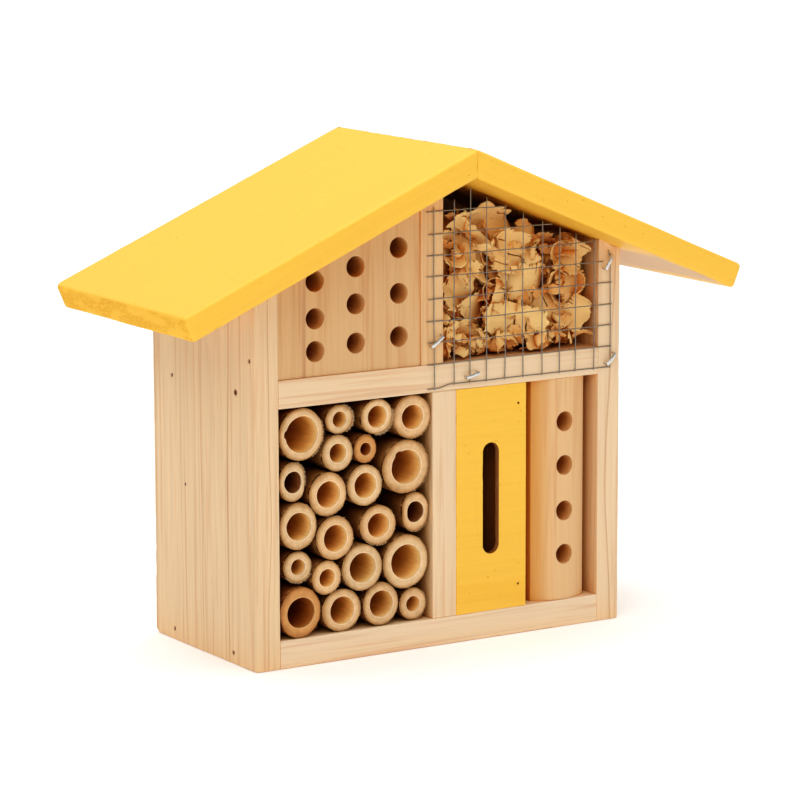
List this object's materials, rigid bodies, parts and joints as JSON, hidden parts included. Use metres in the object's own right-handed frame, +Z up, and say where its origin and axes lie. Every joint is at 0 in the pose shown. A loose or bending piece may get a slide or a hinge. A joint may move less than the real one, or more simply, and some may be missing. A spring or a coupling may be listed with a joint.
{
  "type": "insect hotel",
  "caption": "Gable-roofed wooden insect hotel with compartments of bamboo canes, drilled blocks, a slotted chamber and meshed wood shavings.",
  "frame": {"origin": "under the middle of the whole object, on the surface that it stands on", "axes": "+X across the front from left to right as seen from in front, -Y out of the front, +Z up"},
  "size_m": [0.301, 0.125, 0.2345],
  "materials": {
    "pine": "bare planed softwood, pale, with straight pinkish grain",
    "yellow_paint": "satin warm yellow paint over softwood",
    "bamboo": "dry bare bamboo, sawn ends",
    "bamboo_brown": "dry brown bamboo, sawn ends",
    "shavings": "thin curled softwood shavings",
    "galvanised_wire": "dull galvanised",
    "bright_steel": "bright wire"
  },
  "bodies": {
    "root": {"back_panel": "pine", "back_panel_nails": "bright_steel", "bamboo_cane_01": "bamboo_brown", "bamboo_cane_02": "bamboo", "bamboo_cane_03": "bamboo", "bamboo_cane_04": "bamboo", "bamboo_cane_05": "bamboo", "bamboo_cane_06": "bamboo", "bamboo_cane_07": "bamboo", "bamboo_cane_08": "bamboo", "bamboo_cane_09": "bamboo", "bamboo_cane_10": "bamboo", "bamboo_cane_11": "bamboo", "bamboo_cane_12": "bamboo", "bamboo_cane_13": "bamboo", "bamboo_cane_14": "bamboo", "bamboo_cane_15": "bamboo", "bamboo_cane_16": "bamboo", "bamboo_cane_17": "bamboo", "bamboo_cane_18": "bamboo", "bamboo_cane_19": "bamboo_brown", "bamboo_cane_20": "bamboo", "bamboo_cane_21": "bamboo", "bamboo_cane_22": "bamboo", "base_board": "pine", "base_nails": "bright_steel", "drilled_block": "pine", "left_wall": "pine", "left_wall_nails": "bright_steel", "lower_divider": "pine", "mesh_staples": "bright_steel", "panel_partition": "pine", "panel_pins": "bright_steel", "right_wall": "pine", "right_wall_nails": "bright_steel", "roof_board_left": "yellow_paint", "roof_board_right": "yellow_paint", "roof_nails": "bright_steel", "round_front_block": "pine", "shelf": "pine", "shelf_nails": "bright_steel", "slotted_panel": "yellow_paint", "upper_divider": "pine", "wire_mesh": "galvanised_wire", "wood_shavings": "shavings"}
  },
  "joints": []
}
